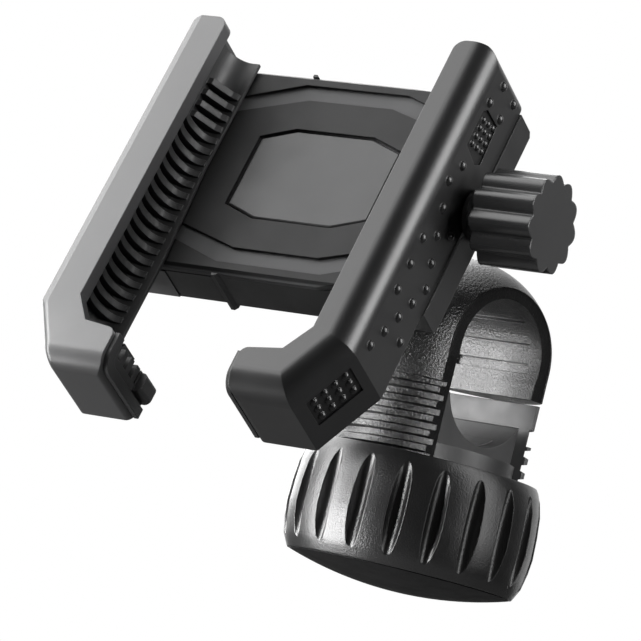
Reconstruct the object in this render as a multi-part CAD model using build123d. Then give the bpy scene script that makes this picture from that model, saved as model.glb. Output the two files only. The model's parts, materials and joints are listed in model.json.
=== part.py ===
from build123d import *
import math
import os

# Handlebar phone mount. Millimetres.
# Main frame: origin at the handlebar's axis in the middle of the clamp hoop,
# +X along the handlebar to the rider's right, +Y forwards, away from the rider, +Z up the clamp nut's axis.
# Cradle frame: origin on the panel's face at its centre, +x across the phone towards the knob,
# +y up the phone, +z out of the screen. CRADLE places it in the main frame.

# ---- driving dimensions: clamp ----
BAR_RADIUS = 16.0            # bore that takes a 31.8 mm handlebar
BODY_RADIUS = 27.0           # round body of the hoop and crest of its thread
HALF_WIDTH = 18.0            # hoop, from its middle to each flat end
CROWN_SCALE = 0.95           # height of the hoop's crown over its width
LINER_THICKNESS = 1.6
LINER_FLANGE_RADIUS = 19.6   # flange of the rubber liner on each end face of the hoop
LINER_FLANGE_DEPTH = 1.0
LINER_GROOVE_HALF = 14.0     # half length of the liner's grooves
LINER_GROOVE_WIDTH = 2.7
LINER_GROOVE_ANGLES = (1, 29, 52, 128, 151, 179)
LINER_FOOT_Z = -4.0          # where the liner ends on the front wall; on the rear wall it ends with the wall
LINER_FOOT_Y = 15.5          # inner face of the liner below that height
WALL_INNER_Y = 16.4          # inner faces of the two walls below the liner
REAR_WALL_BOTTOM_Z = -8.1
LEG_BOTTOM_Z = -45.0
THREAD_TOP_Z = -11.0
THREAD_PITCH = 4.0
THREAD_ROOT_RADIUS = 25.4
THREAD_CLEARANCE = 0.35
GATE_TOP_Z = -9.1
GATE_INNER_Y = 18.6
GATE_HEAD_BOTTOM_Z = -15.9
GATE_THREAD_TOP_Z = -20.5
HINGE_PIN_RADIUS = 1.5
HINGE_Y = 19.0
HINGE_Z = -41.5
ARM_INNER_X = 13.4
NUT_BOTTOM_Z = -62.3
NUT_HEIGHT = 30.7
NUT_FLOOR_Z = -59.4
NUT_FLUTES = 20
SADDLE_TOP_Z = -15.8
SADDLE_RADIUS = 23.6
SADDLE_COLLAR_TOP_Z = -27.0
SADDLE_COLLAR_BOTTOM_Z = -32.4
SADDLE_REAR_Y = 14.0
SADDLE_LIP_Y = -11.5
SADDLE_LIP_HEIGHT = 2.6
SADDLE_STEM_RADIUS = 12.6
SADDLE_PAD_HALF_X = 13.4
SADDLE_PAD_HALF_Y = 9.4
SADDLE_SEAT_DROP = 8.6       # the seat's lowest point lies this far below a bar held in the hoop

# ---- driving dimensions: ball joint ----
BALL_RADIUS = 8.5
BALL_CENTRE = (0.0, -35.9, 19.9)
LINER_SHELL_RADIUS = 9.9
RACE_SHELL_RADIUS = 11.3
SHELL_GAP = 0.06
SOCKET_RADIUS = 14.6
LOCK_RING_RADIUS = 19.0

# ---- driving dimensions: cradle pose on the ball ----
CRADLE_SWIVEL = 13.4         # degrees about the clamp nut's axis
CRADLE_LEAN = 25.1           # degrees back from upright
CRADLE_ROLL = 2.3            # degrees about the screen's normal
BALL_IN_CRADLE = (10.0, 0.0, -28.0)

# ---- driving dimensions: cradle ----
LEFT_JAW_X = -37.3           # inner face of the moving jaw
RIGHT_JAW_X = 33.8           # inner face of the fixed jaw
JAW_FRONT_Z = 16.8
JAW_REAR_Z = -7.5
JAW_WIDTH = 11.4
JAW_TOP_Y = 37.3
JAW_BOTTOM_Y = -78.0
JAW_CUT_TOP_Y = -60.0
HOOK_REACH = 15.6
RIGHT_HOOK_REACH = 17.0
HOOK_TOP_Y = -66.0
LIP_Z = 12.8                 # underside of the lip that holds the rubber liner
POCKET_DEPTH = 5.0           # how far the liner's pocket goes into the jaw
RIGHT_FRONT_ROUND = 6.6      # rounding of the fixed jaw's outer front edge
LEFT_FRONT_ROUND = 2.2
HOOK_ROUND = 5.5             # rounding under the moving jaw's hook
INLAY_DEPTH = 1.2            # depth of the recesses of the jaws' rubber inlays
INLAY_THICKNESS = 0.7
FOOT_INNER_X = -5.2          # inner end of the moving jaw's foot, outwards from the jaw's inner face
FOOT_HALF_Y = 33.4
FOOT_REAR_Z = -14.4
PANEL_LEFT_X = -36.7
HOUSING_LEFT_X = -15.6
HOUSING_RIGHT_X = 45.8
HOUSING_REAR_Z = -15.7
HOUSING_WALL = 2.0
END_WALL = 4.0               # wall that carries the rods and the lead screw
END_BLOCK_TOP_Z = -7.5       # top of the block that the fixed jaw stands on
SLIDER_LEFT_X = -32.05
SLIDER_RIGHT_X = 14.0
SLIDER_HALF_Y = 30.6
SLIDER_TOP_Z = -3.2
SLIDER_REAR_Z = -13.2
STOP_RIGHT_X = -16.3         # end of the slider's thick part, against the housing's mouth
STOP_HALF_Y = 33.1
PANEL_THICKNESS = 2.4
PAD_DEPTH = 1.5              # pocket of the centre pad
SCREW_Z = -8.2               # axis of the lead screw and the knob
ROD_Y = 24.0
ROD_RADIUS = 2.0
ROD_LEFT_X = -30.5
LEAD_SCREW_RADIUS = 3.0
LEAD_SCREW_LEFT_X = -27.0
BUSH_RADIUS = 5.0
BUSH_WALL = 1.5              # wall of the slider's bushes
SCREW_SHANK_RADIUS = 1.4
SCREW_HEAD_RADIUS = 2.6
SCREW_HEAD_HEIGHT = 1.5
LEFT_SCREW_HEAD_X = 0.4      # depth of the head seats in the moving jaw's foot
LEFT_SCREW_YS = (-12.0, 12.0)
KNOB_END_X = 69.0
KNOB_LENGTH = 17.7
KNOB_RADIUS = 12.9
KNOB_LOBES = 11
KNOB_VALLEY_DEPTH = 1.8
NECK_RADIUS = 7.0
LINER_GAP = 0.05             # gap between a jaw and its liner
LINER_FOOT_GAP = 0.35        # gap between the liner's foot and the panel
LINER_TOP_Y = 34.4
HOOK_PAD_THICKNESS = 1.3
HOOK_BAND_WIDTH = 3.0        # width of the rubber band on the hook's end
LONG_RIBS = 17
SHORT_RIBS = 4
FIRST_RIB_Y = -54.6
RIB_PITCH = 3.79
RIB_WIDTH = 1.9

CRADLE = (
    Location(BALL_CENTRE)
    * Rotation(0, 0, CRADLE_SWIVEL)
    * Rotation(90 - CRADLE_LEAN, 0, 0)
    * Rotation(0, 0, CRADLE_ROLL)
    * Location(tuple(-value for value in BALL_IN_CRADLE))
)
END_WALL_RIGHT_X = RIGHT_JAW_X + POCKET_DEPTH - 0.2
END_WALL_LEFT_X = END_WALL_RIGHT_X - END_WALL
ABOVE = (Align.CENTER, Align.CENTER, Align.MIN)

parts = {}


# ---- helpers ----
def block(low, high):
    """Box between two opposite corners."""
    size = [high[axis] - low[axis] for axis in range(3)]
    return Pos(*low) * Box(*size, align=(Align.MIN, Align.MIN, Align.MIN))


def upright(radius, z_low, z_high, x=0.0, y=0.0):
    """Cylinder along Z."""
    return Pos(x, y, z_low) * Cylinder(radius, z_high - z_low, align=ABOVE)


def across(radius, x_low, x_high, y=0.0, z=0.0):
    """Cylinder along X."""
    return Pos(x_low, y, z) * Rotation(0, 90, 0) * Cylinder(radius, x_high - x_low, align=ABOVE)


def plate(points, z_low, z_high):
    """Prism on a polygon in the XY plane."""
    return Pos(0, 0, z_low) * extrude(Polygon(*points, align=None), z_high - z_low, dir=(0, 0, 1))


def side_prism(points, x_low, x_high):
    """Prism along X on a polygon given as (y, z) points."""
    outline = Plane.YZ.offset(x_low) * Polygon(*points, align=None)
    return extrude(outline, x_high - x_low, dir=(1, 0, 0))


def turned(profile):
    """Solid of revolution about Z from (radius, z) points."""
    return revolve(Plane.XZ * Polygon(*profile, align=None), Axis.Z)


def dome(radius, depth):
    """Ball whose poles lie on Z, centred a little below the XY plane."""
    return Pos(0, 0, -depth) * Sphere(radius)


def group(shapes):
    """Several separate solids in one node."""
    return Compound([solid for shape in shapes for solid in shape.solids()])


def in_cradle(shape):
    """Cradle frame to main frame."""
    return shape.moved(CRADLE)


def pan_head_screw(length):
    """Screw with its head on the XY plane and its shank along +Z, with a hexagon socket."""
    head = chamfer(upright(SCREW_HEAD_RADIUS, 0, SCREW_HEAD_HEIGHT).edges().group_by(Axis.Z)[0], 0.3)
    shank = upright(SCREW_SHANK_RADIUS, SCREW_HEAD_HEIGHT, length)
    socket = extrude(RegularPolygon(1.3, 6), 0.9, dir=(0, 0, 1))
    return head + shank - socket


def screw_hole_up(place, z_head, z_end):
    """Stepped hole for a screw put in from below at an (x, y) place."""
    head = upright(SCREW_HEAD_RADIUS + 0.15, z_head - 5, z_head + SCREW_HEAD_HEIGHT, *place)
    return head + upright(SCREW_SHANK_RADIUS, z_head, z_end, *place)


def helical_ridge(radius, height, crest, base_half, crest_half, z_low, inwards=False):
    """Trapezoidal thread ridge wound on a cylinder; it overlaps the cylinder a little."""
    sign = -1 if inwards else 1
    root = -0.5 * sign
    profile = Plane(origin=(radius, 0, z_low), x_dir=(1, 0, 0), z_dir=(0, -1, 0)) * Polygon(
        (root, -base_half),
        (crest * sign, -crest_half),
        (crest * sign, crest_half),
        (root, base_half),
        align=None,
    )
    path = Pos(0, 0, z_low) * Helix(pitch=THREAD_PITCH, height=height, radius=radius)
    return sweep(profile, path=path, is_frenet=True)


# ---- clamp ----
def threaded_column():
    """Round core with the external thread, from the leg's bottom to the thread's top."""
    core = upright(THREAD_ROOT_RADIUS, LEG_BOTTOM_Z, THREAD_TOP_Z + 2)
    run_out = 2 * THREAD_PITCH
    ridge = helical_ridge(
        THREAD_ROOT_RADIUS,
        THREAD_TOP_Z - LEG_BOTTOM_Z + run_out,
        BODY_RADIUS - THREAD_ROOT_RADIUS - 0.1,
        1.35,
        0.75,
        LEG_BOTTOM_Z - THREAD_PITCH,
    )
    return core, ridge


def clamp_hoop(column):
    """Hoop with its crown, its short rear wall, its long threaded front leg and the ball's boss."""
    core, ridge = column
    crown = scale(Sphere(BODY_RADIUS), by=(1, 1, CROWN_SCALE))
    crown = crown & block((-HALF_WIDTH, -40, 0), (HALF_WIDTH, 40, 40))
    barrel = upright(BODY_RADIUS, THREAD_TOP_Z, 0) & block((-HALF_WIDTH, -40, -60), (HALF_WIDTH, 40, 40))
    front = block((-HALF_WIDTH, -40, -60), (HALF_WIDTH, -WALL_INNER_Y, 0))
    leg = core & front
    thread = ridge & block((-HALF_WIDTH, -40, LEG_BOTTOM_Z), (HALF_WIDTH, -WALL_INNER_Y, THREAD_TOP_Z + 0.6))
    arm_top = LEG_BOTTOM_Z + 6.0
    arms = block((-HALF_WIDTH + 0.4, -20, LEG_BOTTOM_Z), (HALF_WIDTH - 0.4, HINGE_Y + 3, arm_top))
    arms = arms - block((-ARM_INNER_X, -WALL_INNER_Y, -60), (ARM_INNER_X, 40, 0))
    arms = arms & upright(THREAD_ROOT_RADIUS - 0.8, -60, 0)
    stud_axis = Vector(*BALL_CENTRE).normalized()
    boss_base = stud_axis * (BODY_RADIUS - 4.5)
    boss = Plane(origin=boss_base, z_dir=stud_axis) * Cone(8.2, 6.4, 6.6, align=ABOVE)
    hoop = crown + barrel + leg + arms + boss + thread
    pocket = liner_space(30, 0.05)
    passage = block((-30, -WALL_INNER_Y, -60), (30, WALL_INNER_Y, LINER_FOOT_Z + 0.01))
    keep_arms = block((-30, -WALL_INNER_Y, LEG_BOTTOM_Z - 1), (30, WALL_INNER_Y, arm_top + 0.01))
    rear_gap = block((-30, 0, arm_top), (30, 40, REAR_WALL_BOTTOM_Z))
    hoop = hoop - pocket - (passage - keep_arms) - rear_gap
    stud_hole = Plane(origin=stud_axis * (BAR_RADIUS + 2.5), z_dir=stud_axis) * Cylinder(3.0, 20, align=ABOVE)
    pin_hole = across(HINGE_PIN_RADIUS, -30, 30, HINGE_Y, HINGE_Z)
    return hoop - stud_hole - pin_hole


def liner_space(reach, gap):
    """Space of the rubber liner up to a reach on each side, with its end flanges grown by a gap."""
    outer_y = BAR_RADIUS + LINER_THICKNESS
    flange_y = LINER_FLANGE_RADIUS + gap
    foot_z = REAR_WALL_BOTTOM_Z
    sleeve = across(outer_y, -reach, reach) & block((-reach, -40, LINER_FOOT_Z), (reach, 40, 40))
    sleeve = sleeve + block((-reach, 0, foot_z), (reach, outer_y, 0))
    disc = scale(across(flange_y, -reach, reach), by=(1, 1, CROWN_SCALE))
    disc = disc & block((-reach, -40, 0), (reach, 40, 40))
    disc = disc + block((-reach, -flange_y, LINER_FOOT_Z), (reach, 0, 0))
    disc = disc + block((-reach, 0, foot_z), (reach, flange_y, 0))
    flange_x = HALF_WIDTH - LINER_FLANGE_DEPTH
    return sleeve + (disc - block((-flange_x, -40, -40), (flange_x, 40, 40)))


def hoop_liner():
    """Rubber liner of the hoop: round-ended grooves along the bar and a flange on each end face."""
    ring = liner_space(HALF_WIDTH - 0.1, 0) - across(BAR_RADIUS, -30, 30)
    ring = ring - block((-30, -LINER_FOOT_Y, -60), (30, LINER_FOOT_Y, LINER_FOOT_Z))
    for angle in LINER_GROOVE_ANGLES:
        direction = Vector(0, math.cos(math.radians(angle)), math.sin(math.radians(angle)))
        seat = Plane(origin=direction * (BAR_RADIUS - 0.6), x_dir=(1, 0, 0), z_dir=direction)
        ring = ring - seat * extrude(SlotOverall(2 * LINER_GROOVE_HALF, LINER_GROOVE_WIDTH), 1.6)
    return ring


def ball_stud():
    """Steel ball with its neck and its shank in the hoop's boss."""
    axis = Vector(*BALL_CENTRE).normalized()
    reach = Vector(*BALL_CENTRE).length
    shank = Plane(origin=axis * (BAR_RADIUS + 2.7), z_dir=axis) * Cylinder(3.0, 6.5, align=ABOVE)
    collar = Plane(origin=axis * (BODY_RADIUS + 2.1), z_dir=axis) * Cylinder(5.0, 1.6, align=ABOVE)
    neck_length = reach - BAR_RADIUS - 10
    neck = Plane(origin=axis * (BAR_RADIUS + 8), z_dir=axis) * Cylinder(3.0, neck_length, align=ABOVE)
    cone = Plane(origin=axis * (BODY_RADIUS + 3.7), z_dir=axis) * Cone(4.6, 3.6, 5.0, align=ABOVE)
    return shank + neck + collar + cone + Pos(*BALL_CENTRE) * Sphere(BALL_RADIUS)


def rear_gate(column):
    """Separate rear leg that closes the hoop below the bar and carries its share of the thread."""
    core, ridge = column
    outline = block((-HALF_WIDTH, GATE_INNER_Y, -60), (HALF_WIDTH, 40, GATE_TOP_Z))
    head = upright(BODY_RADIUS - 0.4, GATE_HEAD_BOTTOM_Z, GATE_TOP_Z) & outline
    leg = upright(THREAD_ROOT_RADIUS, HINGE_Z - 2.4, GATE_TOP_Z) & outline
    thread = ridge & block((-HALF_WIDTH, GATE_INNER_Y, HINGE_Z + 3), (HALF_WIDTH, 40, GATE_THREAD_TOP_Z))
    gate = leg + head + thread
    knuckle = across(3.2, -ARM_INNER_X + 0.3, ARM_INNER_X - 0.3, HINGE_Y, HINGE_Z)
    arm_room = block((-30, 0, LEG_BOTTOM_Z - 2), (30, 40, LEG_BOTTOM_Z + 6.5))
    middle = block((-ARM_INNER_X + 0.3, 0, -60), (ARM_INNER_X - 0.3, 40, 0))
    gate = gate - (arm_room - middle) + knuckle
    gate = gate & upright(BODY_RADIUS, -60, 0)
    return gate - across(HINGE_PIN_RADIUS + 0.1, -30, 30, HINGE_Y, HINGE_Z)


def gate_pin():
    """Hinge pin of the gate, through both arms of the front leg."""
    return across(HINGE_PIN_RADIUS, -ARM_INNER_X - 2.0, ARM_INNER_X + 2.0, HINGE_Y, HINGE_Z)


def saddle():
    """Piston between the legs: a round collar, a stem down to the nut's floor and the bar's seat on top."""
    front_y = -WALL_INNER_Y + 0.5
    side_x = HALF_WIDTH - 0.6
    collar = upright(SADDLE_RADIUS, SADDLE_COLLAR_BOTTOM_Z, SADDLE_COLLAR_TOP_Z)
    collar = collar & block((-30, front_y, -60), (30, GATE_INNER_Y - 0.5, 0))
    head = block((-side_x, front_y, SADDLE_COLLAR_TOP_Z - 0.5), (side_x, SADDLE_REAR_Y, SADDLE_TOP_Z))
    lip_top_z = SADDLE_TOP_Z + SADDLE_LIP_HEIGHT
    lip = block((-side_x, front_y, SADDLE_COLLAR_TOP_Z), (side_x, SADDLE_LIP_Y, lip_top_z))
    head = (head + lip) & upright(SADDLE_RADIUS, -60, 0)
    stem = upright(SADDLE_STEM_RADIUS, NUT_FLOOR_Z + 1.4, SADDLE_COLLAR_BOTTOM_Z)
    foot = upright(SADDLE_STEM_RADIUS + 2.4, NUT_FLOOR_Z + 1.2, NUT_FLOOR_Z + 3.4)
    column = (stem + foot) & block((-ARM_INNER_X + 0.5, -15.0, -70), (ARM_INNER_X - 0.5, 14.2, 0))
    seat = across(BAR_RADIUS, -30, 30, 0, -SADDLE_SEAT_DROP)
    return collar + head + column - seat - saddle_pad_space(0.1)


def saddle_pad_space(gap):
    """Space of the rubber pad below the seat, grown by a gap."""
    half_x = SADDLE_PAD_HALF_X + gap
    half_y = SADDLE_PAD_HALF_Y + gap
    ring = across(BAR_RADIUS + 1.6, -half_x, half_x, 0, -SADDLE_SEAT_DROP)
    return ring & block((-half_x, -half_y, -40), (half_x, half_y, 0))


def saddle_pad():
    """Rubber pad in the saddle's seat, with grooves across the bar."""
    pad = saddle_pad_space(0) - across(BAR_RADIUS - 0.3, -30, 30, 0, -SADDLE_SEAT_DROP)
    for x in (-9, -3, 3, 9):
        pad = pad - block((x - 0.7, -7.5, -40), (x + 0.7, 7.5, 0.5 - SADDLE_SEAT_DROP - BAR_RADIUS))
    return pad


def thrust_washer():
    """Washer between the nut's floor and the saddle's foot."""
    return upright(14.5, NUT_FLOOR_Z + 0.1, NUT_FLOOR_Z + 1.1) - upright(6.0, -70, 0)


def clamp_nut():
    """Large hand nut: barrel-shaped, fluted, with an internal thread at its mouth."""
    top = NUT_BOTTOM_Z + NUT_HEIGHT
    profile = (
        (0, 0), (31.2, 0), (31.5, 0.5), (33.0, 3.5), (33.9, 8.0), (34.3, 12.0),
        (34.1, 18.0), (33.6, 23.5), (32.6, 27.5), (31.6, 29.8), (31.0, NUT_HEIGHT), (0, NUT_HEIGHT),
    )
    body = Pos(0, 0, NUT_BOTTOM_Z) * turned(profile)
    bore_radius = BODY_RADIUS + THREAD_CLEARANCE
    body = body - upright(bore_radius, NUT_FLOOR_Z, top + 1)
    body = body - Pos(0, 0, top - 0.8) * Cone(bore_radius, bore_radius + 1.0, 1.0, align=ABOVE)
    cutter = Pos(35.2, 0, NUT_BOTTOM_Z + 15.3) * scale(Sphere(3.0), by=(1.15, 0.85, 7.0))
    for index in range(NUT_FLUTES):
        body = body - Rotation(0, 0, 360 * index / NUT_FLUTES) * cutter
    ridge = helical_ridge(bore_radius, 13.0, 1.25, 1.05, 0.5, top - 15.0 - nut_thread_phase(), inwards=True)
    ridge = ridge & (upright(bore_radius + 0.4, top - 14.5, top - 1.0))
    return body + ridge


def nut_thread_phase():
    """Axial offset that puts the nut's ridge midway between the ridges of the legs."""
    top = NUT_BOTTOM_Z + NUT_HEIGHT
    from_leg_start = top - 15.0 - (LEG_BOTTOM_Z - THREAD_PITCH)
    return (from_leg_start - THREAD_PITCH / 2) % THREAD_PITCH


def nut_base_cap():
    """Shallow domed cap that closes the nut's underside."""
    dome_radius = 100.0
    dome = Pos(0, 0, NUT_BOTTOM_Z - 5.0 + dome_radius) * Sphere(dome_radius)
    cap = dome & upright(30.4, NUT_BOTTOM_Z - 6, NUT_BOTTOM_Z - 0.02)
    return cap


# ---- ball joint ----
def shell_about_ball(inner, outer, opening_degrees, axis):
    """Spherical shell about the ball with a round opening that faces along -axis."""
    shell = Sphere(outer) - Sphere(inner)
    reach = 3 * outer
    cone = Cone(0.01, reach * math.tan(math.radians(opening_degrees)), reach, align=ABOVE)
    cut = Plane(origin=(0, 0, 0), z_dir=axis * -1) * cone
    return Pos(*BALL_CENTRE) * (shell - cut)


def ball_liner():
    """Plastic liner on the ball."""
    axis = Vector(*BALL_CENTRE).normalized()
    return shell_about_ball(BALL_RADIUS + SHELL_GAP, LINER_SHELL_RADIUS, 42, axis)


def ball_race():
    """Friction ring around the liner."""
    axis = Vector(*BALL_CENTRE).normalized()
    return shell_about_ball(LINER_SHELL_RADIUS + SHELL_GAP, RACE_SHELL_RADIUS, 55, axis)


def ball_socket():
    """Socket under the housing: flange, threaded collar and the cup that holds the ball."""
    x, y, z = BALL_IN_CRADLE
    flange = upright(20.0, HOUSING_REAR_Z - 3.0, HOUSING_REAR_Z, x, y)
    collar = upright(SOCKET_RADIUS, z - 5.0, HOUSING_REAR_Z - 2.5, x, y)
    socket = flange + collar
    socket = socket - Pos(x, y, z) * Sphere(RACE_SHELL_RADIUS + SHELL_GAP)
    mouth = Pos(x, y, z) * Rotation(180, 0, 0) * Cone(0.01, 30 * math.tan(math.radians(63)), 30, align=ABOVE)
    socket = socket - mouth
    for angle in range(0, 360, 60):
        slit = Pos(x, y, z) * Rotation(0, 0, angle) * block((5, -0.6, -10), (16, 0.6, -1.0))
        socket = socket - slit
    for place in socket_screw_places():
        socket = socket - screw_hole_up(place, HOUSING_REAR_Z - 3.0, HOUSING_REAR_Z)
    return socket


def socket_screw_places():
    """Centres of the four screws of the socket, in the cradle frame."""
    x, y, _ = BALL_IN_CRADLE
    reach = 17.2
    angles = [math.radians(angle) for angle in (45, 135, 225, 315)]
    return [(x + reach * math.cos(angle), y + reach * math.sin(angle)) for angle in angles]


def lock_ring():
    """Scalloped ring that squeezes the socket onto the ball."""
    x, y, z = BALL_IN_CRADLE
    ring = upright(LOCK_RING_RADIUS, z - 6.6, HOUSING_REAR_Z - 4.0, x, y)
    ring = chamfer(ring.edges().filter_by(GeomType.CIRCLE), 0.8)
    ring = ring - upright(SOCKET_RADIUS + 0.3, z - 5.3, 0, x, y)
    ring = ring - upright(12.6, z - 10, 0, x, y)
    for index in range(12):
        angle = math.radians(30 * index)
        place = (x + 21.4 * math.cos(angle), y + 21.4 * math.sin(angle))
        ring = ring - upright(3.6, z - 10, 0, *place)
    return ring


# ---- cradle: housing ----
def housing():
    """Box that carries the fixed jaw, the socket, the rods and the lead screw, open on its left."""
    shell = block(
        (HOUSING_LEFT_X, -FOOT_HALF_Y, HOUSING_REAR_Z), (HOUSING_RIGHT_X, FOOT_HALF_Y, -PANEL_THICKNESS)
    )
    shell = chamfer(shell.edges().filter_by(Axis.X).group_by(Axis.Z)[0], 1.2)
    shell = shell - block((END_WALL_RIGHT_X, -40, END_BLOCK_TOP_Z), (60, 40, 0))
    room = block(
        (HOUSING_LEFT_X - 5, -FOOT_HALF_Y + HOUSING_WALL, HOUSING_REAR_Z + HOUSING_WALL),
        (END_WALL_LEFT_X, FOOT_HALF_Y - HOUSING_WALL, 0),
    )
    shell = shell - room
    collar = block(
        (HOUSING_LEFT_X - 0.4, -FOOT_HALF_Y - 0.9, HOUSING_REAR_Z),
        (HOUSING_LEFT_X + 1.6, FOOT_HALF_Y + 0.9, -0.6),
    )
    collar = chamfer(collar.edges().filter_by(Axis.Z).group_by(Axis.X)[-1], 0.85)
    panel_room = block((-60, -FOOT_HALF_Y - 0.05, -PANEL_THICKNESS), (60, FOOT_HALF_Y + 0.05, 1))
    shell = shell + (collar - room - panel_room)
    for place in panel_screw_places():
        shell = shell + upright(2.8, HOUSING_REAR_Z, -PANEL_THICKNESS, *place)
    for y in (-ROD_Y, ROD_Y):
        shell = shell - across(ROD_RADIUS, END_WALL_LEFT_X - 1, END_WALL_RIGHT_X - 1, y, SCREW_Z)
    shell = shell - across(BUSH_RADIUS, END_WALL_LEFT_X - 1, HOUSING_RIGHT_X + 1, 0, SCREW_Z)
    for place in socket_screw_places():
        shell = shell - upright(SCREW_SHANK_RADIUS, HOUSING_REAR_Z - 1, 0, *place)
    for place in panel_screw_places() + right_jaw_screw_places():
        shell = shell - screw_hole_up(place, HOUSING_REAR_Z + 0.1, 0)
    return shell


def panel_screw_places():
    """Centres of the screws that hold the panel, in the housing's corners at its closed end."""
    return [(END_WALL_LEFT_X - 1.6, -28.9), (END_WALL_LEFT_X - 1.6, 28.9)]


def right_jaw_screw_places():
    """Centres of the screws that hold the fixed jaw on the housing's end block."""
    return [(END_WALL_RIGHT_X + 3.6, -22.0), (END_WALL_RIGHT_X + 3.6, 22.0)]


def housing_screws():
    """Four equal screws put in from below: two hold the panel and two hold the fixed jaw."""
    places = panel_screw_places() + right_jaw_screw_places()
    return group([Pos(x, y, HOUSING_REAR_Z + 0.1) * pan_head_screw(13.8) for x, y in places])


def socket_screws():
    """Four screws that hold the socket's flange on the housing."""
    return group([Pos(x, y, HOUSING_REAR_Z - 3.0) * pan_head_screw(4.9) for x, y in socket_screw_places()])


def ring_outline(half_x, flat_x, side_y, flat_y):
    """Eight-sided outline with flat ends, centred on the panel."""
    right = [(half_x, -side_y), (half_x, side_y), (flat_x, flat_y)]
    left = [(-flat_x, flat_y), (-half_x, side_y), (-half_x, -side_y)]
    return right + left + [(-flat_x, -flat_y), (flat_x, -flat_y)]


def top_panel():
    """Cover behind the phone: an eight-sided channel around a raised field with a pocket for the pad."""
    y = FOOT_HALF_Y
    right_x = END_WALL_RIGHT_X - 0.2
    outline = [
        (PANEL_LEFT_X, -y), (16.0, -y), (24.0, -y + 1.4), (right_x, -y + 1.4),
        (right_x, y - 1.4), (24.0, y - 1.4), (16.0, y), (PANEL_LEFT_X, y),
    ]
    panel = plate(outline, -PANEL_THICKNESS, 0)
    panel = chamfer(panel.faces().sort_by(Axis.Z)[-1].edges().filter_by(Axis.X), 1.2)
    channel = plate(ring_outline(36.0, 16.0, 23.2, 30.1), -1.0, 1)
    channel = channel - plate(ring_outline(36.5, 13.0, 18.0, 25.1), -2, 2)
    panel = panel - channel
    panel = panel - plate(ring_outline(22.3, 12.2, 11.6, 15.3), -PAD_DEPTH, 1)
    for place in panel_screw_places():
        panel = panel - upright(SCREW_SHANK_RADIUS, -PANEL_THICKNESS - 1, HOUSING_REAR_Z + 13.95, *place)
    return panel


def centre_pad():
    """Pad in the middle of the panel."""
    pad = plate(ring_outline(21.5, 11.8, 11.2, 14.7), -PAD_DEPTH, -0.3)
    return chamfer(pad.faces().sort_by(Axis.Z)[-1].edges(), 0.4)


def guide_rods():
    """Two steel rods that carry the slider."""
    return group([across(ROD_RADIUS, ROD_LEFT_X, END_WALL_RIGHT_X - 1, y, SCREW_Z) for y in (-ROD_Y, ROD_Y)])


# ---- cradle: jaws, drawn for the right-hand side with x outwards from the phone ----
def jaw_outline(reach):
    """Front outline of a jaw: a rail with a hook under the phone."""
    return [
        (0, JAW_TOP_Y), (JAW_WIDTH, JAW_TOP_Y), (JAW_WIDTH, JAW_CUT_TOP_Y), (0.8, JAW_BOTTOM_Y),
        (-reach, JAW_BOTTOM_Y), (-reach, HOOK_TOP_Y), (-5.5, HOOK_TOP_Y + 1.4), (0, -57.0),
    ]


def jaw_side_bumps():
    """Round bumps on the jaw's side, as rows of (start y, start z, step y, step z, count)."""
    rows = [
        (-54.0, 7.2, 6.6, -2.8, 5), (-36.3, 7.3, 8.3, 0.0, 3), (-21.4, -1.1, 6.6, 3.1, 4),
        (25.3, 7.2, 7.4, -2.4, 2), (25.8, -0.3, 7.2, -2.6, 2),
    ]
    places = [(-44.6, -3.9), (-10.6, -3.4), (5.4, 5.6)]
    for start_y, start_z, step_y, step_z, count in rows:
        places += [(start_y + step_y * index, start_z + step_z * index) for index in range(count)]
    return places


def inlay_outline():
    """Outline of the side inlay as (y, z) points."""
    return [(10.4, 8.2), (21.6, 8.2), (23.4, 6.4), (23.6, -0.6), (11.4, -1.4), (9.4, 1.0)]


def corner_plane():
    """Plane on the jaw's cut corner: x along the cut, y towards the front, z outwards."""
    start = Vector(0.8, JAW_BOTTOM_Y, 0)
    end = Vector(JAW_WIDTH, JAW_CUT_TOP_Y, 0)
    along = (end - start).normalized()
    outwards = along.cross(Vector(0, 0, 1))
    return Plane(origin=(start + end) * 0.5, x_dir=along, z_dir=outwards)


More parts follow.
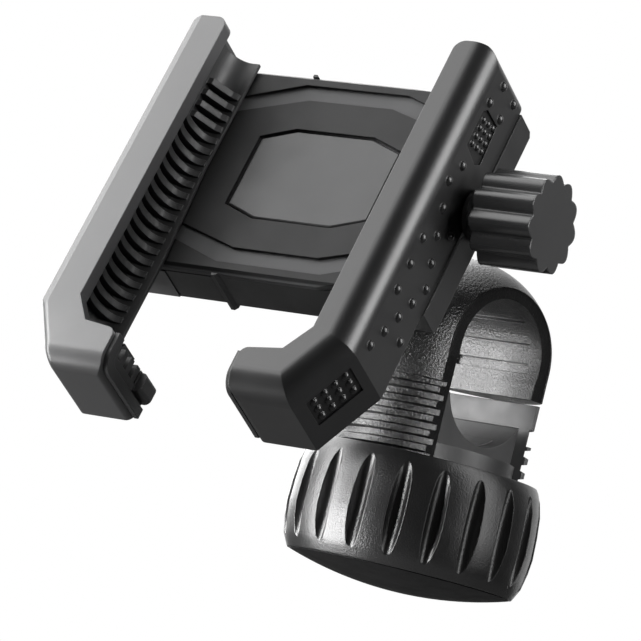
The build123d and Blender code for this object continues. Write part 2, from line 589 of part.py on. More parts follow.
def jaw_shell(side_round, bottom_round, reach):
    """Rigid jaw: lip, wall and hook, with the liner's pocket."""
    points = jaw_outline(reach)
    jaw = plate(points, JAW_REAR_Z, JAW_FRONT_Z)
    edges = jaw.faces().filter_by(Axis.Z).sort_by(Axis.Z)[-1].edges()
    bottom_edges = edges.filter_by(lambda edge: edge.center().Y < JAW_BOTTOM_Y + 0.1)
    side_edges = edges.filter_by(
        lambda edge: JAW_BOTTOM_Y + 0.1 < edge.center().Y < 0 and edge.center().X > JAW_WIDTH / 2 + 0.1
    )
    if side_round == bottom_round:
        jaw = fillet(bottom_edges + side_edges, side_round)
    else:
        jaw = fillet(bottom_edges, bottom_round)
        edges = jaw.faces().filter_by(Axis.Z).sort_by(Axis.Z)[-1].edges()
        side_edges = edges.filter_by(lambda edge: edge.center().Y < 0 and edge.center().X > JAW_WIDTH / 2)
        jaw = fillet(side_edges, side_round)
    rounded = Polygon(*points, align=None)
    rounded = fillet(rounded.vertices().group_by(Axis.Y)[-1], 3.2)
    rounded = fillet(rounded.vertices().group_by(Axis.X)[0], 2.4)
    jaw = jaw & Pos(0, 0, JAW_REAR_Z) * extrude(rounded, JAW_FRONT_Z - JAW_REAR_Z, dir=(0, 0, 1))
    pocket_line = [(POCKET_DEPTH, 40), (POCKET_DEPTH, -59.5), (-1.5, -73.0), (-30, -73.0), (-30, 40)]
    jaw = jaw - plate(pocket_line, JAW_REAR_Z - 1, LIP_Z)
    jaw = jaw + [Pos(JAW_WIDTH, y, z) * Rotation(0, 90, 0) * dome(1.5, 0.5) for y, z in jaw_side_bumps()]
    jaw = jaw - side_prism(inlay_outline(), JAW_WIDTH - INLAY_DEPTH, JAW_WIDTH + 3)
    return jaw - corner_inlay(3.0)


def left_jaw_shell():
    """Moving jaw: the jaw with a foot that is screwed to the slider's end."""
    foot_outer_x = JAW_WIDTH - 0.5
    foot = block((FOOT_INNER_X, -FOOT_HALF_Y, FOOT_REAR_Z), (foot_outer_x, FOOT_HALF_Y, SLIDER_TOP_Z))
    foot = chamfer(foot.edges().filter_by(Axis.Y).group_by(Axis.Z)[0].sort_by(Axis.X)[-1:], 2.0)
    jaw = jaw_shell(LEFT_FRONT_ROUND, HOOK_ROUND, HOOK_REACH) + foot
    for y in LEFT_SCREW_YS:
        jaw = jaw - across(SCREW_SHANK_RADIUS, FOOT_INNER_X - 1, foot_outer_x, y, SCREW_Z)
        jaw = jaw - across(SCREW_HEAD_RADIUS + 0.15, LEFT_SCREW_HEAD_X, foot_outer_x + 1, y, SCREW_Z)
    return jaw


def left_jaw_screws():
    """Two screws that hold the moving jaw's foot on the slider."""
    start_x = LEFT_SCREW_HEAD_X + SCREW_HEAD_HEIGHT
    screw = Rotation(0, -90, 0) * pan_head_screw(12.5)
    return group([Pos(start_x, y, SCREW_Z) * screw for y in LEFT_SCREW_YS])


def right_jaw_shell():
    """Fixed jaw in the cradle frame, with a notch over the lead screw's bush and holes for its screws."""
    jaw = place_right(jaw_shell(RIGHT_FRONT_ROUND, RIGHT_FRONT_ROUND, RIGHT_HOOK_REACH))
    jaw = jaw - across(BUSH_RADIUS + 0.05, END_WALL_RIGHT_X, HOUSING_RIGHT_X, 0, SCREW_Z)
    for place in right_jaw_screw_places():
        jaw = jaw - upright(SCREW_SHANK_RADIUS, HOUSING_REAR_Z, HOUSING_REAR_Z + 14.0, *place)
    return jaw


def corner_inlay(height):
    """Block on the jaw's cut corner, from the floor of the corner's recess outwards."""
    return corner_plane() * Pos(0.5, 4.0, -INLAY_DEPTH) * Box(14.4, 9.4, height, align=ABOVE)


def jaw_inlays():
    """Rubber inlays in the jaw's side and in its cut corner, each with a field of small bumps."""
    floor_x = JAW_WIDTH - INLAY_DEPTH
    face_x = floor_x + INLAY_THICKNESS
    side = side_prism(inlay_outline(), floor_x, face_x)
    corner = corner_inlay(INLAY_THICKNESS)
    corner_face = corner_plane() * Pos(0.5, 4.0, INLAY_THICKNESS - INLAY_DEPTH)
    for row in range(4):
        for column in range(3):
            y = 12.9 + 2.6 * row + 0.75 * column
            z = 5.5 - 2.6 * column
            side = side + Pos(face_x, y, z) * Rotation(0, 90, 0) * dome(1.05, 0.3)
            corner = corner + corner_face * Pos(-5.1 + 3.4 * row, -2.9 + 2.9 * column, 0) * dome(1.2, 0.3)
    side = side & side_prism(inlay_outline(), floor_x, JAW_WIDTH + 2)
    return group([side, corner & corner_inlay(3.0)])


def jaw_liner(reach):
    """Rubber liner: a backing with a foot over the panel, curved ribs and a stepped end on the hook."""
    back_x = POCKET_DEPTH - LINER_GAP
    top_z = LIP_Z - LINER_GAP
    foot_z = LINER_FOOT_GAP
    bend = Polyline((-4.6, 1.3), (-3.0, 1.3)) + ThreePointArc((-3.0, 1.3), (1.4, 3.0), (3.1, 7.0))
    back = [(3.1, 7.0), (3.1, top_z), (back_x, top_z), (back_x, foot_z), (-4.6, foot_z), (-4.6, 1.3)]
    outline = bend + Polyline(*back)
    backing = extrude(Plane.XZ.offset(-LINER_TOP_Y) * make_face(outline), LINER_TOP_Y + 59.0, dir=(0, -1, 0))
    foot_outline = [(0, LINER_TOP_Y), (-2.2, LINER_TOP_Y), (-6.7, -34.0), (-6.7, -59.0), (0, -59.0)]
    foot = plate(foot_outline, foot_z, 1.3)
    liner = backing + foot
    crest = ThreePointArc((0.2, top_z), (0.75, 9.0), (-0.3, 4.6))
    crest = crest + ThreePointArc((-0.3, 4.6), (-1.7, 2.5), (-4.2, 1.6))
    rib_face = crest + Polyline((-4.2, 1.6), (-4.2, 1.0), (3.6, 1.0), (3.6, top_z), (0.2, top_z))
    rib = extrude(Plane.XZ * make_face(rib_face), RIB_WIDTH, dir=(0, -1, 0))
    short_outline = [(3.6, 8.2), (1.6, 8.0), (0.6, 6.6), (-2.4, 2.8), (-4.0, 1.8), (-4.0, 1.0), (3.6, 1.0)]
    short = extrude(Plane.XZ * Polygon(*short_outline, align=None), RIB_WIDTH, dir=(0, -1, 0))
    for index in range(LONG_RIBS + SHORT_RIBS):
        shape = rib if index < LONG_RIBS else short
        liner = liner + Pos(0, FIRST_RIB_Y + RIB_PITCH * index + RIB_WIDTH, 0) * shape
    end_x = -reach
    corner = [
        (back_x, -59.0), (3.1, -59.0), (-5.5, -70.8), (end_x, -70.8),
        (end_x, -72.9), (-1.5, -72.9), (back_x, -59.45),
    ]
    liner = liner + plate(corner, JAW_REAR_Z, top_z)
    floor = [
        (0, -59.0), (-6.7, -59.0), (-6.7, -66.4), (end_x, -66.4),
        (end_x, -72.9), (-1.5, -72.9), (3.4, -61.5),
    ]
    liner = liner + plate(floor, JAW_REAR_Z, -0.9)
    for z, top_y in ((11.4, -67.3), (7.8, -66.9), (4.2, -66.6), (0.6, -66.4)):
        step = [(-5.0, top_y), (end_x, top_y), (end_x, -71.2), (-5.0, -71.2)]
        liner = liner + plate(step, z - 0.9, z + 0.9)
    return liner + hook_end_pad(reach)


def hook_end_pad(reach):
    """Rubber band over the front and the underside of the hook's end, with a blunt tip behind it."""
    end_x = -reach
    low_y = JAW_BOTTOM_Y + 1.0
    front_z = JAW_FRONT_Z - 1.0
    pad = block((end_x - HOOK_PAD_THICKNESS, low_y, JAW_REAR_Z), (end_x, -66.6, front_z))
    pad = fillet(pad.edges().filter_by(Axis.X).group_by(Axis.Z)[-1].sort_by(Axis.Y)[0], 5.0)
    opening_low = (end_x - 10, low_y + HOOK_BAND_WIDTH, JAW_REAR_Z - 1)
    opening = block(opening_low, (end_x + 10, -60, front_z - HOOK_BAND_WIDTH))
    opening = fillet(opening.edges().filter_by(Axis.X).group_by(Axis.Z)[-1].sort_by(Axis.Y)[0], 2.4)
    tip = block((end_x - 2.4, -72.6, JAW_REAR_Z), (end_x + 0.5, -66.8, -1.4))
    tip = fillet(tip.edges().filter_by(Axis.Z).group_by(Axis.X)[0], 1.6)
    return pad - opening + tip


def place_right(shape):
    """Jaw drawing to its place on the right of the phone."""
    return Pos(RIGHT_JAW_X, 0, 0) * shape


def place_left(shape):
    """Mirror image of the jaw drawing, to its place on the left of the phone."""
    return Pos(LEFT_JAW_X, 0, 0) * mirror(shape, about=Plane.YZ)


def jaw_slider():
    """Carriage of the moving jaw: a thick end that stops at the housing's mouth and a tray inside."""
    tray_low = (SLIDER_LEFT_X, -SLIDER_HALF_Y, SLIDER_REAR_Z)
    slider = block(tray_low, (SLIDER_RIGHT_X, SLIDER_HALF_Y, SLIDER_TOP_Z))
    stop = block((SLIDER_LEFT_X, -STOP_HALF_Y, FOOT_REAR_Z), (STOP_RIGHT_X, STOP_HALF_Y, SLIDER_TOP_Z))
    slider = slider + stop
    floor_z = SLIDER_REAR_Z + 2.0
    for x_low, x_high in ((-27.0, -9.0), (-4.0, 2.0)):
        for sign in (-1, 1):
            inner, outer = sorted((sign * 9.0, sign * 17.0))
            slider = slider - block((x_low, inner, floor_z), (x_high, outer, 0))
    slider = slider - across(LEAD_SCREW_RADIUS + 1.0, SLIDER_LEFT_X + 1.5, 20, 0, SCREW_Z)
    slider = slider - block((2.0, -5.5, SCREW_Z - 3.5), (8.0, 5.5, 0))
    for y in (-ROD_Y, ROD_Y):
        slider = slider - across(ROD_RADIUS + BUSH_WALL, SLIDER_LEFT_X + 1.0, 20, y, SCREW_Z)
    for y in LEFT_SCREW_YS:
        slider = slider - across(SCREW_SHANK_RADIUS, SLIDER_LEFT_X - 1, -26.9, y, SCREW_Z)
    return slider


def slider_bushes():
    """Plain bushes of the slider on the rods."""
    bushes = []
    for y in (-ROD_Y, ROD_Y):
        for x in (-8.0, 6.0):
            sleeve = across(ROD_RADIUS + BUSH_WALL, x, x + 7.0, y, SCREW_Z)
            bushes.append(sleeve - across(ROD_RADIUS + 0.05, x - 1, x + 8, y, SCREW_Z))
    return group(bushes)


def slider_nut():
    """Square brass nut of the lead screw."""
    nut = block((2.1, -5.4, SCREW_Z - 3.4), (7.9, 5.4, SCREW_Z + 4.4))
    return nut - across(LEAD_SCREW_RADIUS + 0.08, 0, 10, 0, SCREW_Z)


# ---- knob and lead screw ----
def lead_screw():
    """Lead screw with its thrust collar, captive in the housing's end wall."""
    screw = across(LEAD_SCREW_RADIUS, LEAD_SCREW_LEFT_X, KNOB_END_X - 6, 0, SCREW_Z)
    screw = screw + across(4.2, END_WALL_LEFT_X - 1.7, END_WALL_LEFT_X - 0.1, 0, SCREW_Z)
    return screw - cross_pin()


def screw_bushing():
    """Flanged bush of the lead screw in the housing's end wall."""
    bush = across(BUSH_RADIUS, END_WALL_LEFT_X, HOUSING_RIGHT_X, 0, SCREW_Z)
    flange = across(NECK_RADIUS - 0.4, HOUSING_RIGHT_X, HOUSING_RIGHT_X + 1.2, 0, SCREW_Z)
    return bush + flange - across(LEAD_SCREW_RADIUS + 0.06, 0, 80, 0, SCREW_Z)


def knob_outline(radius, valley):
    """Closed outline of round lobes with shallow valleys between them."""
    points = []
    steps_per_lobe = 12
    for index in range(KNOB_LOBES * steps_per_lobe):
        phase = 2 * math.pi * index / steps_per_lobe
        angle = 2 * math.pi * index / (KNOB_LOBES * steps_per_lobe)
        swell = (0.5 + 0.5 * math.cos(phase)) ** 0.6
        r = radius - valley * (1 - swell)
        points.append((r * math.cos(angle), r * math.sin(angle)))
    return make_face(Spline(*points, periodic=True))


def knob():
    """Lobed hand knob with a plain neck towards the housing."""
    rear_x = KNOB_END_X - KNOB_LENGTH
    rear = Plane(origin=(rear_x, 0, SCREW_Z), x_dir=(0, 1, 0), z_dir=(1, 0, 0))
    face = rear * knob_outline(KNOB_RADIUS, KNOB_VALLEY_DEPTH)
    body = extrude(face, KNOB_LENGTH, dir=(1, 0, 0))
    neck = across(NECK_RADIUS, HOUSING_RIGHT_X + 1.6, rear_x + 0.5, 0, SCREW_Z)
    return body + neck - across(LEAD_SCREW_RADIUS, 0, KNOB_END_X - 6, 0, SCREW_Z) - cross_pin()


def cross_pin():
    """Pin through the knob's neck and the lead screw."""
    x = HOUSING_RIGHT_X + 4.0
    return Pos(x, 0, SCREW_Z) * Cylinder(0.8, 2 * NECK_RADIUS - 1.0)


def main():
    """Build every node and write it."""
    column = threaded_column()
    parts["clamp_hoop"] = clamp_hoop(column)
    parts["hoop_liner"] = hoop_liner()
    parts["ball_stud"] = ball_stud()
    parts["rear_gate"] = rear_gate(column)
    parts["gate_pin"] = gate_pin()
    parts["saddle"] = saddle()
    parts["saddle_pad"] = saddle_pad()
    parts["thrust_washer"] = thrust_washer()
    parts["clamp_nut"] = clamp_nut()
    parts["nut_base_cap"] = nut_base_cap()
    parts["ball_liner"] = ball_liner()
    parts["ball_race"] = ball_race()
    parts["ball_socket"] = in_cradle(ball_socket())
    parts["lock_ring"] = in_cradle(lock_ring())
    parts["housing"] = in_cradle(housing())
    parts["top_panel"] = in_cradle(top_panel())
    parts["centre_pad"] = in_cradle(centre_pad())
    parts["guide_rods"] = in_cradle(guide_rods())
    parts["socket_screws"] = in_cradle(socket_screws())
    parts["housing_screws"] = in_cradle(housing_screws())
    parts["screw_bushing"] = in_cradle(screw_bushing())
    parts["right_jaw_shell"] = in_cradle(right_jaw_shell())
    parts["right_jaw_liner"] = in_cradle(place_right(jaw_liner(RIGHT_HOOK_REACH)))
    parts["right_jaw_inlays"] = in_cradle(place_right(jaw_inlays()))
    parts["left_jaw_shell"] = in_cradle(place_left(left_jaw_shell()))
    parts["left_jaw_screws"] = in_cradle(place_left(left_jaw_screws()))
    parts["left_jaw_liner"] = in_cradle(place_left(jaw_liner(HOOK_REACH)))
    parts["left_jaw_inlays"] = in_cradle(place_left(jaw_inlays()))
    parts["jaw_slider"] = in_cradle(jaw_slider())
    parts["slider_bushes"] = in_cradle(slider_bushes())
    parts["slider_nut"] = in_cradle(slider_nut())
    parts["lead_screw"] = in_cradle(lead_screw())
    parts["knob"] = in_cradle(knob())
    parts["knob_pin"] = in_cradle(cross_pin())
    os.makedirs("parts", exist_ok=True)
    for name, shape in parts.items():
        export_step(shape, f"parts/{name}.step")


main()
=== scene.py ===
"""Handlebar phone mount: materials, two detailed pieces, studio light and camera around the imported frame."""
import json
import math

import bmesh
import bpy
from mathutils import Matrix, Vector


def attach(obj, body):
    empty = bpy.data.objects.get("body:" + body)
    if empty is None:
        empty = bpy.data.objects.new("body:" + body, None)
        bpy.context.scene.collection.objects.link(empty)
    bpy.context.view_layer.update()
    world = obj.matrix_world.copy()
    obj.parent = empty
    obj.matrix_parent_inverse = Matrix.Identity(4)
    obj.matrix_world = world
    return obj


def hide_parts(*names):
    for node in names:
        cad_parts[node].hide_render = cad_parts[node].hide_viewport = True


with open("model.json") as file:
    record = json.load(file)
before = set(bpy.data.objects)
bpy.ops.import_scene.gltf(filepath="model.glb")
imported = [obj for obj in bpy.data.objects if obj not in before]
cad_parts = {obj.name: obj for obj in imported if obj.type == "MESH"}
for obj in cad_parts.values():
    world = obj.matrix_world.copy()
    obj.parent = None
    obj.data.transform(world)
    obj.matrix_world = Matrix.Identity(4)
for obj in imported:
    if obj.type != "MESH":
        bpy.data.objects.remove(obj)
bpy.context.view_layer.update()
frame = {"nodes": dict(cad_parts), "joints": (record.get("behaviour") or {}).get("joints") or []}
NODES = frame["nodes"]
MM = 0.001
WHITE = (1, 1, 1, 1)

# ---- the cradle's axes: x along the lead screw, z out of the panel, origin on the panel's face ----
BALL_TO_ORIGIN_X = -0.010    # metres, from the ball's centre
BALL_TO_ORIGIN_Z = 0.028
joints = {joint["name"]: joint for joint in frame["joints"]}
ball = Vector(joints["ball_spin"]["pos_m"])
cradle_x = Vector(joints["knob_turn"]["axis"])
cradle_z = Vector(joints["lock_ring_turn"]["axis"])
cradle_origin = ball + BALL_TO_ORIGIN_X * cradle_x + BALL_TO_ORIGIN_Z * cradle_z

# ---- materials ----
BLOTCH_SCALE = 60        # noise cells in a metre, for the uneven grey
GLOSS_SCALE = 140        # the same, for the uneven gloss
EDGE_SAMPLES = 6
COOL_GREY = (1, 1, 1.02)
BRASS_TINT = (1.0, 0.76, 0.36)


def node_tree(name):
    """New material with its tree and its shader."""
    material = bpy.data.materials.new(name)
    material.use_nodes = True
    tree = material.node_tree
    return material, tree, tree.nodes["Principled BSDF"]


def noise(tree, scale, detail, rough=0.55):
    """Noise over the object's own coordinates."""
    node = tree.nodes.new("ShaderNodeTexNoise")
    node.inputs["Scale"].default_value = scale
    node.inputs["Detail"].default_value = detail
    node.inputs["Roughness"].default_value = rough
    coords = tree.nodes.new("ShaderNodeTexCoord")
    tree.links.new(coords.outputs["Object"], node.inputs["Vector"])
    return node


def ramp(tree, source, low, high, start=0.3, end=0.7):
    """Value that goes from low to high while the source goes from start to end."""
    node = tree.nodes.new("ShaderNodeMapRange")
    node.inputs["From Min"].default_value = start
    node.inputs["From Max"].default_value = end
    node.inputs["To Min"].default_value = low
    node.inputs["To Max"].default_value = high
    tree.links.new(source, node.inputs["Value"])
    return node.outputs["Result"]


def dot_product(tree, source, direction):
    """Length of a vector along a direction."""
    node = tree.nodes.new("ShaderNodeVectorMath")
    node.operation = "DOT_PRODUCT"
    node.inputs[1].default_value = direction
    tree.links.new(source, node.inputs[0])
    return node.outputs["Value"]


def colour_mix(tree, factor, first, second):
    """Colour between two others."""
    node = tree.nodes.new("ShaderNodeMix")
    node.data_type = "RGBA"
    node.inputs["A"].default_value = (*first, 1)
    node.inputs["B"].default_value = (*second, 1)
    tree.links.new(factor, node.inputs["Factor"])
    return node.outputs["Result"]


def bump(tree, shader, height, distance, edge_mm):
    """Bump from a height, over edges that look rounded to the given radius."""
    node = tree.nodes.new("ShaderNodeBump")
    node.inputs["Strength"].default_value = 1.0
    node.inputs["Distance"].default_value = distance
    tree.links.new(height, node.inputs["Height"])
    edge = tree.nodes.new("ShaderNodeBevel")
    edge.samples = EDGE_SAMPLES
    edge.inputs["Radius"].default_value = edge_mm * MM
    tree.links.new(edge.outputs["Normal"], node.inputs["Normal"])
    tree.links.new(node.outputs["Normal"], shader.inputs["Normal"])


def moulded(name, grey, spread, rough, rough_spread, grain_mm, grain_depth_mm, specular=0.5,
            tint=COOL_GREY, edge_mm=0.3):
    """Moulded surface: uneven grey, uneven gloss, a fine grain and slightly rounded edges."""
    material, tree, shader = node_tree(name)
    blotch = noise(tree, BLOTCH_SCALE, 4.0)
    low = grey * (1 - spread)
    high = grey * (1 + spread)
    factor = ramp(tree, blotch.outputs["Fac"], 0.0, 1.0)
    colour = colour_mix(tree, factor, [low * part for part in tint], [high * part for part in tint])
    tree.links.new(colour, shader.inputs["Base Color"])
    patches = noise(tree, GLOSS_SCALE, 3.0)
    gloss = ramp(tree, patches.outputs["Fac"], rough - rough_spread, rough + rough_spread)
    tree.links.new(gloss, shader.inputs["Roughness"])
    grain = noise(tree, 1.0 / (grain_mm * MM), 2.0, 0.6)
    bump(tree, shader, grain.outputs["Fac"], grain_depth_mm * MM, edge_mm)
    shader.inputs["Specular IOR Level"].default_value = specular
    return material


def metal(name, grey, rough, tint=COOL_GREY):
    """Bare metal with a faint grain."""
    material = moulded(name, grey, 0.08, rough, 0.08, 0.20, 0.003, tint=tint)
    material.node_tree.nodes["Principled BSDF"].inputs["Metallic"].default_value = 1.0
    return material


def painted_light_by_height(name, painted_light_bands, **look):
    """Moulded plastic whose grey follows the height over the panel's face, from two (mm, grey) pairs; the
    lighter grey low down is painted light, a painted highlight on the sunk channel's floor.
    """
    material = moulded(name, 1.0, **look)
    tree = material.node_tree
    shader = tree.nodes["Principled BSDF"]
    blotches = shader.inputs["Base Color"].links[0].from_socket
    coords = tree.nodes.new("ShaderNodeTexCoord")
    height = dot_product(tree, coords.outputs["Object"], cradle_z)
    (low_mm, low_grey), (high_mm, high_grey) = painted_light_bands
    start = cradle_origin.dot(cradle_z)
    grey = ramp(tree, height, low_grey, high_grey, start + low_mm * MM, start + high_mm * MM)
    tint = tree.nodes.new("ShaderNodeMix")
    tint.data_type = "RGBA"
    tint.blend_type = "MULTIPLY"
    tint.inputs["Factor"].default_value = 1.0
    tree.links.new(blotches, tint.inputs["A"])
    tree.links.new(grey, tint.inputs["B"])
    tree.links.new(tint.outputs["Result"], shader.inputs["Base Color"])
    return material


# name, grey and its spread, roughness and its spread, grain size and depth in mm, specular level
# Both jaws are the same black plastic; the left jaw's lighter grey is painted light, for the light its front
# face catches more than the right jaw's.
LEFT_JAW_PAINTED_LIGHT = moulded("left_jaw_plastic", 0.052, 0.06, 0.36, 0.02, 0.40, 0.004, 0.7)
RIGHT_JAW = moulded("right_jaw_plastic", 0.015, 0.08, 0.33, 0.02, 0.40, 0.004, 0.5)
# The panel's sunk channel is painted lighter than its face: a painted highlight for the light the channel's
# floor catches from above.
PANEL = painted_light_by_height(
    "panel_plastic", ((-0.9, 0.075), (-0.6, 0.016)),
    spread=0.10, rough=0.46, rough_spread=0.05, grain_mm=0.35, grain_depth_mm=0.012, specular=0.15,
)
PAD = moulded("pad_plastic", 0.038, 0.08, 0.38, 0.05, 0.30, 0.008, 0.35)
BODY = moulded("housing_plastic", 0.014, 0.15, 0.36, 0.06, 0.40, 0.018, 0.3)
CLAMP = moulded("clamp_plastic", 0.007, 0.15, 0.31, 0.04, 0.55, 0.24, 1.0)
GATE = moulded("gate_plastic", 0.034, 0.12, 0.42, 0.06, 0.35, 0.015, 0.5)
SADDLE = moulded("saddle_plastic", 0.012, 0.12, 0.44, 0.06, 0.35, 0.015, 0.4)
NUT = moulded("nut_plastic", 0.012, 0.12, 0.30, 0.02, 0.45, 0.080, 1.0, edge_mm=0.4)
CAP = moulded("nut_cap_plastic", 0.008, 0.2, 0.50, 0.06, 0.38, 0.030, 0.15)
KNOB = moulded("knob_plastic", 0.018, 0.08, 0.26, 0.01, 0.40, 0.003, 0.6, edge_mm=0.6)
LINING = moulded("liner_rubber", 0.009, 0.20, 0.33, 0.04, 0.55, 0.24, 1.0)
RUBBER = moulded("rubber", 0.028, 0.15, 0.46, 0.06, 0.30, 0.008, 0.4)
INLAY = moulded("inlay_rubber", 0.008, 0.20, 0.30, 0.04, 0.30, 0.004, 0.5)
DARK_BUSH = moulded("blackened_bush", 0.015, 0.10, 0.40, 0.05, 0.30, 0.006, 0.3)
STEEL = metal("steel", 0.45, 0.26)
BRASS = metal("brass", 0.5, 0.30, BRASS_TINT)

# material: the CAD nodes that wear it
LOOKS = (
    (LEFT_JAW_PAINTED_LIGHT, ["left_jaw_shell"]),
    (RIGHT_JAW, ["right_jaw_shell"]),
    (PANEL, ["top_panel"]),
    (PAD, ["centre_pad"]),
    (BODY, ["housing", "jaw_slider", "ball_socket", "lock_ring"]),
    (CLAMP, ["clamp_hoop"]),
    (GATE, ["rear_gate"]),
    (SADDLE, ["saddle", "ball_liner"]),
    (NUT, ["clamp_nut"]),
    (CAP, ["nut_base_cap"]),
    (KNOB, ["knob"]),
    (LINING, ["hoop_liner"]),
    (RUBBER, ["left_jaw_liner", "right_jaw_liner", "saddle_pad"]),
    (INLAY, ["left_jaw_inlays", "right_jaw_inlays"]),
    (DARK_BUSH, ["screw_bushing"]),
    (STEEL, ["ball_stud", "gate_pin", "guide_rods", "lead_screw", "knob_pin", "socket_screws",
             "housing_screws", "left_jaw_screws", "thrust_washer", "ball_race"]),
    (BRASS, ["slider_nut", "slider_bushes"]),
)
for material, names in LOOKS:
    for name in names:
        mesh = NODES[name].data
        mesh.materials.clear()
        mesh.materials.append(material)


# ---- two detailed pieces: the moving jaw with its broad front bevel, and the nut without facets ----
WELD_MM = 0.002
CUT_TOLERANCE_MM = 0.0001
BEVEL_WIDTH_MM = 3.8
BEVEL_SLOPE = math.radians(17.5)
JAW_SHARP_DEGREES = 15
NUT_SHARP_DEGREES = 24


def cut_off(work, corner, outwards):
    """Cut a mesh along the plane through the corner that faces outwards, and close it there."""
    everything = work.verts[:] + work.edges[:] + work.faces[:]
    cut = bmesh.ops.bisect_plane(
        work, geom=everything, dist=CUT_TOLERANCE_MM * MM,
        plane_co=corner, plane_no=outwards, clear_outer=True,
    )
    rim = [item for item in cut["geom_cut"] if isinstance(item, bmesh.types.BMEdge)]
    filled = bmesh.ops.triangle_fill(work, edges=rim, use_beauty=True, normal=outwards)
    for item in filled["geom"]:
        if isinstance(item, bmesh.types.BMFace) and item.normal.dot(outwards) < 0:
            item.normal_flip()


def detailed_copy(node, name, body, material, sharp_degrees, corner=None, outwards=None):
    """Stand a smoothed, welded copy in for a CAD node, cut off at a corner if one is given."""
    work = bmesh.new()
    work.from_mesh(node.data)
    bmesh.ops.remove_doubles(work, verts=work.verts, dist=WELD_MM * MM)
    if corner is not None:
        cut_off(work, corner, outwards)
    mesh = bpy.data.meshes.new(name)
    work.to_mesh(mesh)
    work.free()
    if "custom_normal" in mesh.attributes:
        mesh.attributes.remove(mesh.attributes["custom_normal"])
    mesh.polygons.foreach_set("use_smooth", [True] * len(mesh.polygons))
    mesh.set_sharp_from_angle(angle=math.radians(sharp_degrees))
    mesh.materials.clear()
    mesh.materials.append(material)
    piece = bpy.data.objects.new(name, mesh)
    bpy.context.scene.collection.objects.link(piece)
    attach(piece, body)
    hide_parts(node.name)
    return piece


shell = NODES["left_jaw_shell"]
outer = min((vertex.co - cradle_origin).dot(cradle_x) for vertex in shell.data.vertices)
face = max((vertex.co - cradle_origin).dot(cradle_z) for vertex in shell.data.vertices)
bevel_start = cradle_origin + (outer + BEVEL_WIDTH_MM * MM) * cradle_x + face * cradle_z
bevel_normal = math.cos(BEVEL_SLOPE) * cradle_z - math.sin(BEVEL_SLOPE) * cradle_x
detailed_copy(
    shell, "left_jaw_body", "left_jaw", LEFT_JAW_PAINTED_LIGHT, JAW_SHARP_DEGREES,
    corner=bevel_start, outwards=bevel_normal,
)
nut = detailed_copy(NODES["clamp_nut"], "clamp_nut_body", "clamp_nut", NUT, NUT_SHARP_DEGREES)

# ---- the camera's axes, and a point near the object's middle where the lights aim ----
RIGHT = Vector((0.6921, 0.6810, 0.2392))
UP = Vector((-0.0973, -0.2403, 0.9658))
BACK = Vector((0.7152, -0.6917, -0.1001))
CENTRE = Vector((-0.01, -0.03, 0.0))

# ---- floor: pale to the camera, dim to the object above it ----
FLOOR_HALF = 4.0
FLOOR_Z = -0.5
FLOOR_PALE = (0.85, 0.85, 0.85)
FLOOR_DIM = (0.12, 0.12, 0.12)
FLOOR_GLOW = 0.6
FLOOR_CORNERS = [(x * FLOOR_HALF, y * FLOOR_HALF, 0) for x, y in ((-1, -1), (1, -1), (1, 1), (-1, 1))]
floor_mesh = bpy.data.meshes.new("floor")
floor_mesh.from_pydata(FLOOR_CORNERS, [], [(0, 1, 2, 3)])
floor = bpy.data.objects.new("floor", floor_mesh)
bpy.context.scene.collection.objects.link(floor)
floor.location = (0, 0, FLOOR_Z)
floor_material, floor_tree, floor_shader = node_tree("floor")
seen = floor_tree.nodes.new("ShaderNodeLightPath").outputs["Is Camera Ray"]
floor_grey = colour_mix(floor_tree, seen, FLOOR_DIM, FLOOR_PALE)
floor_tree.links.new(floor_grey, floor_shader.inputs["Base Color"])
floor_glow = ramp(floor_tree, seen, 0.0, FLOOR_GLOW, 0.0, 1.0)
floor_tree.links.new(floor_glow, floor_shader.inputs["Emission Strength"])
floor_shader.inputs["Emission Color"].default_value = WHITE
floor_shader.inputs["Roughness"].default_value = 0.8
floor_mesh.materials.append(floor_material)

# ---- room: a white sweep behind the object, dim in front of it; the camera itself sees plain white ----
DIM_ROOM = 0.03
SWEEP_START = 0.45       # cosines of the angle from straight behind the object
SWEEP_FULL = 0.92
world = bpy.data.worlds.new("studio")
world.use_nodes = True
world_tree = world.node_tree
room = world_tree.nodes["Background"]
direction = world_tree.nodes.new("ShaderNodeTexCoord").outputs["Generated"]
behind = dot_product(world_tree, direction, -BACK)
strength = ramp(world_tree, behind, DIM_ROOM, 1.0, SWEEP_START, SWEEP_FULL)
world_tree.links.new(strength, room.inputs["Strength"])
room.inputs["Color"].default_value = WHITE
white = world_tree.nodes.new("ShaderNodeBackground")
white.inputs["Color"].default_value = WHITE
rays = world_tree.nodes.new("ShaderNodeLightPath")
choose = world_tree.nodes.new("ShaderNodeMixShader")
world_tree.links.new(rays.outputs["Is Camera Ray"], choose.inputs["Fac"])
world_tree.links.new(room.outputs["Background"], choose.inputs[1])
world_tree.links.new(white.outputs["Background"], choose.inputs[2])
world_tree.links.new(choose.outputs["Shader"], world_tree.nodes["World Output"].inputs["Surface"])
bpy.context.scene.world = world
bpy.context.scene.view_settings.view_transform = "Standard"


# ---- lights ----
def from_centre(right, up, back):
    """Place at some metres from the centre, along the camera's axes."""
    return CENTRE + right * RIGHT + up * UP + back * BACK


def area_light(name, place, size, power):
    """Rectangular light that faces the centre and doesn't show in the picture."""
    light = bpy.data.lights.new(name, "AREA")
    light.shape = "RECTANGLE"
    light.size, light.size_y = size
    light.energy = power
    lamp = bpy.data.objects.new(name, light)
    bpy.context.scene.collection.objects.link(lamp)
    lamp.location = place
    lamp.rotation_euler = (CENTRE - place).to_track_quat("-Z", "Y").to_euler()
    lamp.visible_camera = False
    return lamp


KEY_DIRECTION = Vector((-0.413, -0.577, 0.705))     # where the jaws' front faces mirror the camera to
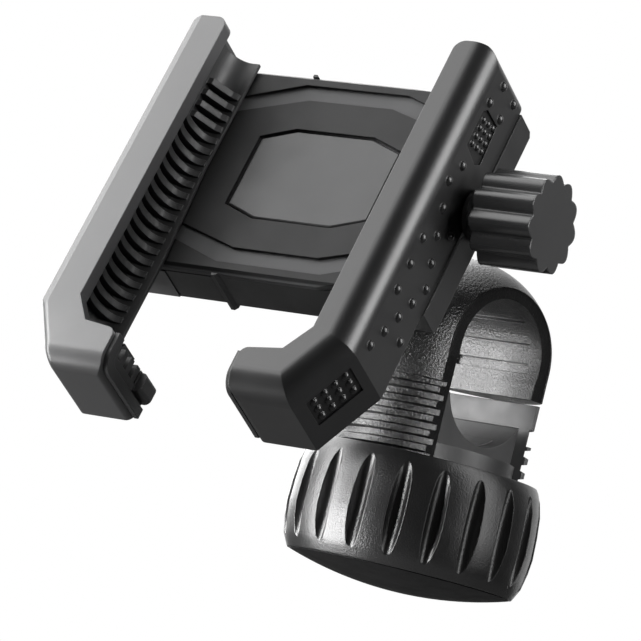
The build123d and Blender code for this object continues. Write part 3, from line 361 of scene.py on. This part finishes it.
# name, place, width and height in metres, power in watts
LIGHTS = (
    ("key", CENTRE + 0.8 * KEY_DIRECTION, (0.6, 0.6), 4.2),
    ("left_strip", from_centre(-0.75, 0.05, 0.0), (0.26, 1.4), 18.0),
    ("right_wide", from_centre(0.66, 0.20, 0.26), (0.34, 0.7), 8.0),
    ("low_side", from_centre(0.66, 0.20, 0.26), (0.34, 1.2), 3.0),
    ("streak", from_centre(-0.68, -0.12, 0.32), (0.16, 1.5), 16.0),
    ("top", from_centre(0.0, 0.75, -0.40), (0.7, 0.4), 2.0),
    ("rim", from_centre(-0.5, 0.5144, -0.3536), (0.4, 0.4), 1.8),
    ("rear", from_centre(-0.2, 0.24, -0.72), (0.6, 0.6), 5.0),
    ("front", from_centre(0.14, 0.54, 0.70), (0.16, 0.16), 1.2),
    ("eye", from_centre(0.14, 0.10, 0.80), (0.26, 0.26), 4.5),
)
lamps = {row[0]: area_light(*row) for row in LIGHTS}
nut_pieces = [nut, NODES["nut_base_cap"]]
hoop_pieces = [NODES["hoop_liner"], NODES["clamp_hoop"]]
near_names = ("knob", "clamp_hoop", "hoop_liner", "rear_gate", "saddle", "housing", "jaw_slider")
near_pieces = [NODES[name] for name in near_names]
# The nut stands in the shade of the hoop and the cradle, and a near light would put a second glint on the
# fixed jaw's bumps. Each row has a group, its lights, its pieces, and whether the lights reach only those
# pieces or every piece but those.
LIGHT_GROUPS = (
    ("out_of_high_light", ("key", "top"), nut_pieces, "EXCLUDE"),
    ("out_of_side_light", ("right_wide",), nut_pieces + hoop_pieces, "EXCLUDE"),
    ("out_of_near_light", ("front",), nut_pieces + [NODES["right_jaw_shell"]], "EXCLUDE"),
    ("clamp_and_knob", ("eye",), near_pieces, "INCLUDE"),
    ("nut_only", ("streak", "low_side"), nut_pieces, "INCLUDE"),
)
for group_name, lamp_names, pieces, state in LIGHT_GROUPS:
    group = bpy.data.collections.new(group_name)
    for piece in pieces:
        group.objects.link(piece)
    for lamp_name in lamp_names:
        lamps[lamp_name].light_linking.receiver_collection = group
    for item in group.collection_objects:
        item.light_linking.link_state = state

# ---- camera ----
LENS_MM = 232.86
SENSOR_MM = 36.0
CAMERA_PLACE = (0.7813, -0.8072, -0.1135)
camera_data = bpy.data.cameras.new("camera")
camera_data.lens = LENS_MM
camera_data.sensor_width = SENSOR_MM
camera_data.clip_end = 20.0
camera = bpy.data.objects.new("camera", camera_data)
bpy.context.scene.collection.objects.link(camera)
turn = Matrix((RIGHT, UP, BACK)).transposed()
camera.matrix_world = Matrix.Translation(CAMERA_PLACE) @ turn.to_4x4()
bpy.context.scene.camera = camera
